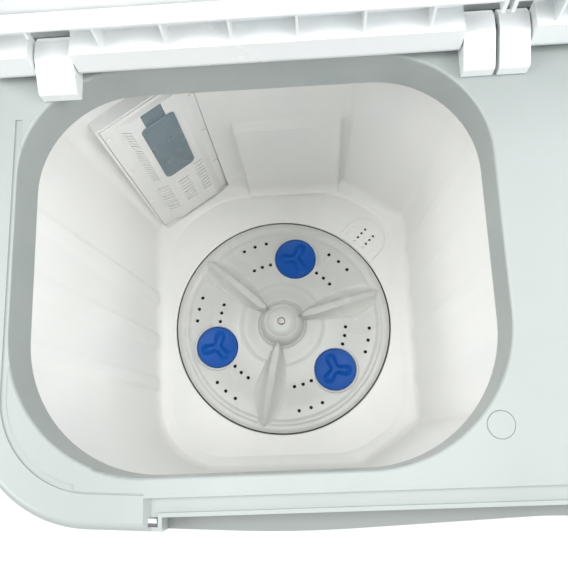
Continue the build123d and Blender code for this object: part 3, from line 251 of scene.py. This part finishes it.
looks = {
    "rubber_black": mouldedRubber("footRubber", (0.018, 0.018, 0.02)),
    "rubber_gray": mouldedRubber("hoseRubber", (0.18, 0.19, 0.20)),
    "base_gray": mouldedPlastic("baseGray", (0.115, 0.125, 0.14), (0.09, 0.10, 0.11), 0.48, 0, 0.00008),
    "cabinet_white": mouldedPlastic("cabinetWhite", (0.80, 0.83, 0.83), (0.75, 0.79, 0.80), 0.24, 0.25),
    "cover_steel": castMetal("coverSteel", (0.42, 0.44, 0.45), 0.42, True),
    "screw_steel": turnedSteel("screwSteel", (0.30, 0.285, 0.265), 0.3),
    "shaft_steel": turnedSteel("shaftSteel", (0.56, 0.56, 0.57), 0.3),
    "deck_gray": mouldedPlastic("deckGray", (0.355, 0.385, 0.375), (0.315, 0.35, 0.34), 0.28, 0.15,
                                shadeFront=(deckZ - 21 * mm, washAxis.y - 196 * mm)),
    "tub_white": mouldedPlastic("tubWhite", (0.90, 0.90, 0.88), (0.86, 0.865, 0.845), 0.30, 0.1,
                                 darkBelow=floorZ - 3 * mm),
    "pulsator_white": mouldedPlastic("pulsatorWhite", (0.65, 0.655, 0.63), (0.61, 0.615, 0.595), 0.26, 0.2,
                                     darkBelow=floorZ + 0.2 * mm),
    "disc_blue": mouldedPlastic("discBlue", (0.001, 0.092, 0.43), (0.001, 0.078, 0.38), 0.34, shine=0.22),
    "filter_gray": mouldedPlastic("filterGray", (0.15, 0.215, 0.25), (0.24, 0.31, 0.34), 0.26, 0.3, wear=0.6,
                                  dimples=0.0004),
    "net_fabric": nylonNet("lintNet"),
    "cast_metal": castMetal("castMetal", (0.36, 0.37, 0.38), 0.45, False),
    "pulley_gray": mouldedPlastic("pulleyGray", (0.045, 0.045, 0.05), (0.035, 0.035, 0.038), 0.5,
                                  grain=0.00008),
    "lid_white": mouldedPlastic("lidWhite", (0.85, 0.87, 0.87), (0.81, 0.84, 0.845), 0.26, 0.2),
    "fascia_gray": gridFilm("fasciaFilm", (0.16, 0.23, 0.28), (0.13, 0.19, 0.24)),
    "cover_clear": mouldedPlastic("coverSatin", (0.55, 0.62, 0.63), (0.50, 0.57, 0.58), 0.34, 0.1, waxy=0.1),
    "basket_white": mouldedPlastic("basketWhite", (0.66, 0.68, 0.67), (0.61, 0.63, 0.62), 0.34, 0.1),
    "knob_white": mouldedPlastic("knobWhite", (0.74, 0.77, 0.78), (0.70, 0.73, 0.74), 0.25, 0.3),
}
slotOf = {entry["node"]: entry["material_slot"] for entry in frame["record"]["subparts"]}
joints = {joint["name"]: joint for joint in frame["record"]["behaviour"]["joints"]}
for nodeName, nodeObject in frame["nodes"].items():
    look = looks["tub_white" if nodeName in ("drain_grille", "lint_filter_housing") else slotOf[nodeName]]
    for index in range(max(1, len(nodeObject.material_slots))):
        if not nodeObject.material_slots:
            nodeObject.data.materials.append(look)
        else:
            nodeObject.material_slots[index].material = look
print("materials made", len(looks))


def keepSharp(bm, sharp):
    for edge in bm.edges:
        edge.smooth = len(edge.link_faces) != 2 or edge.calc_face_angle(0.0) < math.radians(sharp)


def newObject(bm, name):
    mesh = bpy.data.meshes.new(name)
    bm.to_mesh(mesh)
    bm.free()
    made = bpy.data.objects.new(name, mesh)
    bpy.context.scene.collection.objects.link(made)
    return made


# merges, shades and names a piece and lets it ride on its body
def finishPiece(bm, name, slotName, body, replaced=(), sharp=32.0):
    bmesh.ops.remove_doubles(bm, verts=bm.verts, dist=1e-6)
    bmesh.ops.recalc_face_normals(bm, faces=bm.faces)
    for face in bm.faces:
        face.smooth = True
    keepSharp(bm, sharp)
    piece = newObject(bm, name)
    piece.data.materials.append(looks[slotName])
    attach(piece, body)
    if replaced:
        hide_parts(*replaced)
    return piece


# joins or cuts one closed mesh with another, for good
def applyCut(piece, cutter, kind, sharp):
    bmesh.ops.recalc_face_normals(cutter, faces=cutter.faces)
    tool = newObject(cutter, "tool")
    change = piece.modifiers.new("change", "BOOLEAN")
    change.object = tool
    change.operation = kind
    change.solver = "EXACT"
    bpy.context.view_layer.update()
    done = bpy.data.meshes.new_from_object(piece.evaluated_get(bpy.context.evaluated_depsgraph_get()))
    piece.modifiers.clear()
    piece.data = done
    bpy.data.objects.remove(tool)
    bm = bmesh.new()
    bm.from_mesh(done)
    keepSharp(bm, sharp)
    bm.to_mesh(done)
    bm.free()


def smoothStep(low, high, value):
    t = min(1.0, max(0.0, (value - low) / (high - low)))
    return t * t * (3 - 2 * t)


# smooth reading of a short list of positions and heights
def alongCurve(points, value):
    for (x0, y0), (x1, y1) in zip(points, points[1:]):
        if value <= x1:
            return y0 + (y1 - y0) * smoothStep(x0, x1, value)
    return points[-1][1]


# straight-line reading of such a list
def straightCurve(points, value):
    for (x0, y0), (x1, y1) in zip(points, points[1:]):
        if value <= x1:
            return y0 + (y1 - y0) * (value - x0) / (x1 - x0)
    return points[-1][1]


# the point at an angle and a distance in mm from the wash axis
def roundAxis(degrees, distance):
    turn = math.radians(degrees)
    return washAxis + Vector((math.cos(turn), math.sin(turn), 0)) * distance * mm


# a closed turned shape from radius and height points in mm
def spinProfile(points, centre, steps, z0):
    bm = bmesh.new()
    chain = [bm.verts.new((centre.x + r * mm, centre.y, z0 + z * mm)) for r, z in points]
    edges = [bm.edges.new(pair) for pair in zip(chain, chain[1:])]
    bmesh.ops.spin(bm, geom=chain + edges, cent=centre, axis=(0, 0, 1), angle=math.tau, steps=steps,
                   use_merge=True)
    bmesh.ops.remove_doubles(bm, verts=bm.verts, dist=1e-7)
    return bm


# pulsator: its curves are along and across a vane, in mm above the tub's floor
dish = {"steps": 420, "ring": 1.7, "ridgeExtra": 3.0, "scoop": 1.3,
        "lowSide": [(26, 3.5), (33, 5.8), (45, 9.2), (58, 12.6), (75, 16.6), (89, 18.9), (100, 19.0),
                    (112, 17.4), (124, 13.0), (133, 7.6), (137, 3), (138.6, 0)],
        "highSide": [(26, 3), (31, 5.4), (39, 9.4), (47, 12.4), (58, 15.2), (69, 17.2), (86, 18.8),
                     (103, 18.6), (116, 16.6), (127, 12.4), (134, 7.0), (138.6, 0)],
        "crest": [(24, 16), (60, 14), (100, 10.5), (120, 7.5), (134, 4.0), (138.6, 0.4)],
        "hub": [(0, 33), (8, 33), (12, 32.8), (15, 32.2), (17.5, 31.2), (19.2, 29.9), (19.8, 29.0),
                (20.6, 28.9), (22, 28.4), (24, 26.8), (26, 23.8), (27.6, 19.5), (28.5, 15.2), (29, 11.4),
                (29.4, 9.6), (30.4, 9.2), (31.4, 9.5), (32.4, 10.3)],
        "surface": [(33, 10.6), (51, 9.3), (59, 8.2), (126, 2.2), (130, 1.0), (132.5, 1.1), (135, 2.7),
                    (141, 2.5), (144, 0.4)],
        "under": [(144, -8), (137, -8), (131, -4), (60, 1), (28, 3), (0.0, 5)],
        "edge": [128, 130, 131, 132, 133, 134, 135, 137, 139, 141, 142.5, 143.5, 144],
        "vanes": (17, 137, 257), "discs": (77, 197, 317), "discCircle": 93.0, "sharp": 40,
        "holeRadius": 2.35, "holeSteps": (22.3, 30.3, 38.3), "holeCircles": (85.0, 117.0)}


# the height a vane adds: a leaf with sloping flanks and a rounded ridge
def vaneLift(along, across):
    if not 26 < along < 138.6:
        return 0.0
    halfWidth = straightCurve(dish["highSide" if across > 0 else "lowSide"], along)
    share = abs(across) / max(halfWidth, 0.3)
    if share >= 1:
        return 0.0
    crest = straightCurve(dish["crest"], along)
    plateau = min(0.5, 4.6 / max(halfWidth, 1)) * (1 - 0.35 * smoothStep(60, 132, along))
    slope = max(0.0, (share - plateau) / (1 - plateau))
    flank = crest * (1 - slope) ** 1.5 - 0.25 * dish["ridgeExtra"] * min(1, share / plateau) ** 2
    sunk = dish["scoop"] * math.sin(math.pi * slope ** 0.8) * smoothStep(30, 55, along)
    return flank - sunk * (1 - smoothStep(126, 138, along))


def makePulsator():
    radii = [33.0]
    while radii[-1] < 126:
        radii.append(min(126.0, radii[-1] + dish["ring"]))
    radii += dish["edge"]
    top = dish["hub"] + [(r, alongCurve(dish["surface"], r)) for r in radii]
    bm = spinProfile(top + dish["under"], washAxis, dish["steps"], floorZ)
    for vert in bm.verts:
        spot = vert.co - washAxis
        radius = math.hypot(spot.x, spot.y) / mm
        if vert.co.z < floorZ + 0.2 * mm or not 25 < radius < 141:
            continue
        for angle in dish["vanes"]:
            turn = math.radians(angle)
            along = (spot.x * math.cos(turn) + spot.y * math.sin(turn)) / mm
            across = (spot.y * math.cos(turn) - spot.x * math.sin(turn)) / mm
            if along > 20:
                vert.co.z += vaneLift(along, across) * mm
    piece = finishPiece(bm, "pulsatorDish", "pulsator_white", "pulsator", ("pulsator",), dish["sharp"])
    cutHoles(piece)


# the disc pockets, and the small holes right through the dish
def cutHoles(piece):
    cutters = bmesh.new()
    for discAngle in dish["discs"]:
        middle = roundAxis(discAngle, dish["discCircle"])
        middle.z = floorZ + 7.5 * mm
        bmesh.ops.create_cone(cutters, cap_ends=True, segments=96, radius1=28.2 * mm, radius2=28.6 * mm,
                              depth=12 * mm, matrix=Matrix.Translation(middle))
        for side in (-1, 1):
            for step in dish["holeSteps"]:
                for circle in dish["holeCircles"]:
                    spot = roundAxis(discAngle + side * step, circle)
                    bmesh.ops.create_cone(cutters, cap_ends=True, segments=20,
                                          radius1=dish["holeRadius"] * mm, radius2=dish["holeRadius"] * mm,
                                          depth=60 * mm, matrix=Matrix.Translation((spot.x, spot.y, floorZ)))
    applyCut(piece, cutters, "DIFFERENCE", dish["sharp"])


makePulsator()
print("pulsator made")

discs = {"fins": (60, 72, 112), "lobeReach": 20.5, "lobeWidth": 8.6, "lobeHeight": 4.6,
         "edge": [(25, 7.2), (26, 7.3), (26.9, 6.9), (27.4, 6.2), (27.5, 5.0), (27.5, 2.5), (0, 2.5)],
         "collar": [(28.2, 1), (28.2, 5.6), (28.6, 6.4), (29.4, 6.8), (30.3, 6.4), (31.0, 5.4), (31.4, 3.6),
                    (31.4, 1), (28.2, 1)]}
for number, (discAngle, finAngle) in enumerate(zip(dish["discs"], discs["fins"]), 1):
    middle = roundAxis(discAngle, dish["discCircle"])
    crown = [(0, 6.0)] + [(r, 5.4 + 1.5 * (r / 24) ** 2) for r in range(1, 25)]
    bm = spinProfile(crown + discs["edge"], middle, 144, floorZ)
    for vert in bm.verts:
        if vert.co.z < floorZ + 4 * mm:
            continue
        lift = 0.0
        spot = (vert.co - middle) / mm
        for lobe in range(3):
            lobeTurn = math.radians(finAngle + 120 * lobe)
            along = spot.x * math.cos(lobeTurn) + spot.y * math.sin(lobeTurn)
            across = abs(spot.y * math.cos(lobeTurn) - spot.x * math.sin(lobeTurn))
            if along > -4:
                reach = 1 - smoothStep(discs["lobeReach"] - 7, discs["lobeReach"] + 3, along)
                waist = discs["lobeWidth"] * (0.8 + 0.2 * smoothStep(2, 16, along))
                lift = max(lift, reach * (1 - smoothStep(waist * 0.12, waist, across)))
        vert.co.z += lift * discs["lobeHeight"] * mm
    finishPiece(bm, f"turningDisc{number}", "disc_blue", f"disc_{number}", (f"pulsator_disc_{number}",), 50)
    finishPiece(spinProfile(discs["collar"], middle, 128, floorZ), f"discCollar{number}", "pulsator_white",
                "pulsator", sharp=60)
print("discs made")


# wash tub, in mm from the wash axis and the tub's floor
tub = {"sheet": 3.0, "fillet": 10.0, "ribFade": (440.0, 690.0), "sharp": 24,
       "leftRibs": (43, -15, -73.5), "leftReach": 4.2, "rightRibs": (95, 36, -22, -80), "rightReach": 2.2,
       "panel": (-42, 87), "panelTop": 188.0, "panelReach": 9.0, "arc": 10,
       "rimRadii": [74, 90, 72, 72, 105, 118, 78], "rimRise": 2.6,
       "rimRings": ((19.5, 0), (18, 0.15), (16, 1.0), (14.5, 1.35)),
       "floorCorners": [(-171, -190), (95, -190), (175, -137), (175, 146), (90, 205), (-82, 205),
                        (-171, 146)],
       "topCorners": [(-196, -194), (103, -194), (196, -130), (196, 150), (105, 212), (-105, 212),
                      (-196, 150)],
       "divide": [54, 14, 110, 14, 72, 14, 112], "wellRadius": 146.0, "wellDepth": 22.0, "bore": 18.0,
       "filterCorner": (-159.3, 151.6), "filterMiddle": 50.5, "drainAngle": 45, "drainReach": 165,
       "throatReach": 148, "drainRadius": 29.3, "portRadius": 14}


# the tub's rounded plan as a ring of points, with the same count at every level
def outlineAt(level, inset, radii=None):
    corners = [Vector((a + (c - a) * level, b + (d - b) * level))
               for (a, b), (c, d) in zip(tub["floorCorners"], tub["topCorners"])]
    count = len(corners)
    arcs = []
    for index, corner in enumerate(corners):
        back = (corners[index - 1] - corner).normalized()
        ahead = (corners[(index + 1) % count] - corner).normalized()
        radius = (90 + 22 * level if index == 0 else 16) - inset
        if radii:
            radius = radii[index]
        half = back.angle(ahead) / 2
        inward = (back + ahead).normalized()
        middle = corner + inward * ((radius + inset) / math.sin(half))
        reach = (radius + inset) / math.tan(half)
        first, last = corner + back * reach, corner + ahead * reach
        ring = []
        for step in range(tub["arc"] + 1):
            blend = step / tub["arc"]
            direction = (first - middle).normalized().slerp((last - middle).normalized(), blend)
            ring.append(middle + direction * radius)
        arcs.append(ring)
    points = []
    for index, ring in enumerate(arcs):
        points += ring
        following = arcs[(index + 1) % count][0]
        steps = tub["divide"][index]
        points += [ring[-1].lerp(following, step / steps) for step in range(1, steps)]
    return points


# how far the wall swells inwards, for the side ribs and the raised panel on the back
def wallRelief(x, y, height, level):
    fade = 1 - smoothStep(*tub["ribFade"], height + floorZ / mm)
    rise = smoothStep(0, 14, height)
    if x < -150 - 20 * level:
        swell = max(1 - smoothStep(4.5, 12.5, abs(y - rib)) for rib in tub["leftRibs"])
        return Vector((tub["leftReach"] * swell * (0.25 + 0.75 * fade), 0)) * rise
    if x > 160 + 20 * level:
        swell = max(1 - smoothStep(4.5, 12.0, abs(y - rib)) for rib in tub["rightRibs"])
        return Vector((-tub["rightReach"] * swell * (0.25 + 0.75 * fade), 0)) * rise
    if y > 190:
        low, high = tub["panel"]
        swell = smoothStep(low - 1.5, low + 2.5, x) * (1 - smoothStep(high - 2.5, high + 1.5, x))
        swell *= 1 - smoothStep(tub["panelTop"] - 2.5, tub["panelTop"] + 2.5, height)
        return Vector((0, -tub["panelReach"] * swell))
    return Vector((0, 0))


def makeTub():
    floorLevel = floorZ / mm
    topLevel = tubTop / mm
    tall = topLevel - floorLevel
    base = outlineAt(0, 0)
    turns = [math.atan2(point.y, point.x) for point in base]

    def circle(radius, height):
        return [Vector((radius * math.cos(turn), radius * math.sin(turn), height)) for turn in turns]

    def plan(height, inset, relief=False):
        level = min(1.0, max(0.0, height / tall))
        ring = []
        for point in outlineAt(level, inset):
            moved = point + wallRelief(point.x, point.y, height, level) if relief else point
            ring.append(Vector((moved.x, moved.y, height)))
        return ring

    well, bore, radius = tub["wellRadius"], tub["bore"], tub["fillet"]
    rings = [circle(bore, -tub["wellDepth"] - tub["sheet"]), circle(bore, -tub["wellDepth"]),
             circle(well, -tub["wellDepth"]), circle(well, -1.2), circle(well + 0.4, -0.4),
             circle(well + 1.2, 0)]
    for inset, rise in tub["rimRings"]:
        rings.append([Vector((point.x, point.y, rise)) for point in outlineAt(0, inset, tub["rimRadii"])])
    for step in range(8):
        turn = math.radians(step * 90 / 7)
        rings.append(plan(tub["rimRise"] + radius * (1 - math.cos(turn)), radius * (1 - math.sin(turn)),
                          True))
    height = tub["rimRise"] + radius
    while height < tall - 8:
        height += 3.5 if 182 < height < 196 else 7.5
        rings.append(plan(height, 0, True))
    rings += [plan(tall, 0), plan(tall, -tub["sheet"]), plan(-tub["sheet"], -tub["sheet"]),
              circle(well + tub["sheet"], -tub["sheet"]),
              circle(well + tub["sheet"], -tub["wellDepth"] - tub["sheet"]),
              circle(bore, -tub["wellDepth"] - tub["sheet"])]
    capSpot = (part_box("deck_plug_cap")[0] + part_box("deck_plug_cap")[1]) / 2 - washAxis
    bm = bmesh.new()
    chain = [bm.verts.new(point) for point in rings[0]]
    edges = [bm.edges.new((chain[index - 1], chain[index])) for index in range(len(chain))]
    for ring in rings[1:]:
        order = {vert.co.to_tuple(4): index for index, vert in enumerate(chain)}
        made = bmesh.ops.extrude_edge_only(bm, edges=edges)["geom"]
        chain = sorted((item for item in made if isinstance(item, bmesh.types.BMVert)),
                       key=lambda vert: order[vert.co.to_tuple(4)])
        members = set(chain)
        edges = [item for item in made if isinstance(item, bmesh.types.BMEdge)
                 and item.verts[0] in members and item.verts[1] in members]
        for vert, place in zip(chain, ring):
            vert.co = place
    for vert in bm.verts:
        if vert.co.z > tall - 1:
            if vert.co.y < -184:
                vert.co.z = tall - 8
            if math.hypot(vert.co.x - capSpot.x / mm, vert.co.y - capSpot.y / mm) < 20:
                vert.co.z = tall - 20
    bmesh.ops.scale(bm, verts=bm.verts, vec=(mm, mm, mm))
    bmesh.ops.translate(bm, verts=bm.verts, vec=washAxis + Vector((0, 0, floorZ)))
    openTub(finishPiece(bm, "washTubShell", "tub_white", "root", ("wash_tub",), tub["sharp"]))


# the pocket for the filter housing, the valve's port and the drain's recess
def openTub(piece):
    outward = Vector(joints["lint_filter_slide"]["axis"])
    across = Vector((-outward.y, outward.x, 0))
    corner = washAxis + Vector((*tub["filterCorner"], floorZ / mm)) * mm
    pocketTall = (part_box("lint_filter_housing")[1].z - floorZ) / mm + 0.5
    turn = Matrix((across, outward, Vector((0, 0, 1)))).transposed().to_4x4()

    def box(wide, deep, tall, out):
        made = bmesh.new()
        middle = corner + (across * tub["filterMiddle"] + outward * out) * mm
        middle.z += pocketTall / 2 * mm
        bmesh.ops.create_cube(made, size=1, matrix=Matrix.Translation(middle) @ turn
                              @ Matrix.Diagonal((wide * mm, deep * mm, tall * mm, 1)))
        return made

    applyCut(piece, box(113, 20, pocketTall + 6, -11), "UNION", tub["sharp"])
    applyCut(piece, box(107, 24, pocketTall, -6), "DIFFERENCE", tub["sharp"])
    port = bmesh.new()
    plugLow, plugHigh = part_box("drain_valve_plug")
    bmesh.ops.create_cone(port, cap_ends=True, segments=64, radius1=tub["portRadius"] * mm,
                          radius2=tub["portRadius"] * mm, depth=20 * mm,
                          matrix=Matrix.Translation(((plugLow.x + plugHigh.x) / 2,
                                                     (plugLow.y + plugHigh.y) / 2, floorZ)))
    applyCut(piece, port, "DIFFERENCE", tub["sharp"])
    recessMiddle = Vector((0, 0, floorZ + 3 * mm))
    tongue = bmesh.new()
    end = roundAxis(tub["drainAngle"], tub["drainReach"]) + recessMiddle
    bmesh.ops.create_cone(tongue, cap_ends=True, segments=96, radius1=tub["drainRadius"] * mm,
                          radius2=tub["drainRadius"] * mm, depth=10 * mm, matrix=Matrix.Translation(end))
    applyCut(piece, tongue, "DIFFERENCE", tub["sharp"])
    throat = bmesh.new()
    middle = roundAxis(tub["drainAngle"], tub["throatReach"]) + recessMiddle
    bmesh.ops.create_cube(throat, size=1, matrix=Matrix.Translation(middle)
                          @ Matrix.Rotation(math.radians(tub["drainAngle"]), 4, "Z")
                          @ Matrix.Diagonal((34 * mm, 2 * tub["drainRadius"] * mm, 10 * mm, 1)))
    applyCut(piece, throat, "DIFFERENCE", tub["sharp"])


makeTub()
print("tub made")

# valve spring, a fixed copy with a mesh of its own; the real spring shortens as the plug lifts
springNode = frame["nodes"]["valve_spring"]
bm = bmesh.new()
bm.from_mesh(springNode.data)
bm.transform(springNode.matrix_world)
spring = finishPiece(bm, "valveSpring", slotOf["valve_spring"], "root", ("valve_spring",), 60)
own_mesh(spring)

# marks round the knobs: the first and last angle and the count for each dial
marks = {"radius": 22.5, "long": 3.2, "wide": 0.9, "thick": 0.25, "lift": 1.25,
         "dials": {"wash_timer_turn": (0, 300, 16), "wash_selector_turn": (-45, 45, 3),
                   "drain_selector_turn": (0, 90, 2), "spin_timer_turn": (0, 300, 11)}}
for dialName, (start, end, count) in marks["dials"].items():
    facing = Vector(joints[dialName]["axis"])
    middle = Vector(joints[dialName]["pos_m"]) + facing * marks["lift"] * mm
    upslope = facing.cross(Vector((1, 0, 0)))
    bm = bmesh.new()
    for step in range(count):
        turn = math.radians(start + (end - start) * step / (count - 1))
        outwards = upslope * -math.cos(turn) + Vector((1, 0, 0)) * math.sin(turn)
        beside = facing.cross(outwards)
        spot = middle + outwards * marks["radius"] * mm
        pose = Matrix((outwards, beside, facing)).transposed().to_4x4()
        bmesh.ops.create_cube(bm, size=1, matrix=Matrix.Translation(spot) @ pose @ Matrix.Diagonal(
            (marks["long"] * mm * (1.4 if step == 0 else 1), marks["wide"] * mm, marks["thick"] * mm, 1)))
    finishPiece(bm, dialName.replace("_turn", "_marks"), "knob_white", "root")
print("spring and marks made")

# floor and room light
floorMesh = bmesh.new()
bmesh.ops.create_grid(floorMesh, x_segments=1, y_segments=1, size=6.0)
floor = newObject(floorMesh, "studioFloor")
floorLook = Finish("studioFloorPaint")
floorLook.set(Base_Color=floorLook.mix(floorLook.noise(3.0), (0.74, 0.75, 0.76), (0.80, 0.81, 0.82)),
              Roughness=0.6)
floor.data.materials.append(floorLook.material)

world = bpy.data.worlds.new("studio")
bpy.context.scene.world = world
world.use_nodes = True
sky = world.node_tree.nodes["Background"]
sky.inputs["Color"].default_value = (0.96, 0.98, 1.0, 1)
sky.inputs["Strength"].default_value = 0.46


def softLight(name, at, target, size, watts, colour=(1, 1, 1)):
    data = bpy.data.lights.new(name, "AREA")
    data.shape = "RECTANGLE"
    data.size, data.size_y = size
    data.energy = watts
    data.color = colour
    lamp = bpy.data.objects.new(name, data)
    lamp.location = at
    lamp.rotation_mode = "QUATERNION"
    lamp.rotation_quaternion = (Vector(target) - Vector(at)).to_track_quat("-Z", "Y")
    bpy.context.scene.collection.objects.link(lamp)


softLight("leftSoftbox", (-1.7, -0.1, 2.1), (-0.1, 0, 0.6), (1.6, 1.2), 38, (1.0, 0.995, 0.98))
softLight("rightSoftbox", (1.3, -0.2, 2.2), (-0.15, 0, 0.6), (1.6, 1.2), 34)
softLight("overheadPanel", (-0.15, 0.1, 3.0), (-0.15, 0, 0.4), (1.4, 1.2), 21)
softLight("frontFill", (0.9, -2.6, 1.7), (0, 0, 0.5), (1.8, 1.4), 25, (0.97, 0.99, 1.0))
softLight("backFill", (0.8, 2.8, 1.4), (0, 0, 0.6), (1.8, 1.4), 19)

# camera: its place from the wash axis and the deck, and its angles in radians
cameraSpot = washAxis + Vector((0, 0, deckZ)) + Vector((45.67, -156.10, 506.29)) * mm
tilt, heading, roll = 0.232015, -0.19419, -0.235992
forward = Vector((math.sin(heading) * math.sin(tilt), math.cos(heading) * math.sin(tilt), -math.cos(tilt)))
upright = Vector((math.sin(heading) * math.cos(tilt), math.cos(heading) * math.cos(tilt), math.sin(tilt)))
sideways = forward.cross(upright)
right = math.cos(roll) * sideways + math.sin(roll) * upright
up = -math.sin(roll) * sideways + math.cos(roll) * upright
cameraData = bpy.data.cameras.new("camera")
cameraData.lens = 43.43
cameraData.sensor_width = 36
cameraData.clip_start = 0.01
camera = bpy.data.objects.new("camera", cameraData)
camera.matrix_world = Matrix((
    (right.x, up.x, -forward.x, cameraSpot.x),
    (right.y, up.y, -forward.y, cameraSpot.y),
    (right.z, up.z, -forward.z, cameraSpot.z),
    (0, 0, 0, 1)))
bpy.context.scene.collection.objects.link(camera)
bpy.context.scene.camera = camera
bpy.context.scene.view_settings.view_transform = "Standard"
print("lights and camera made")
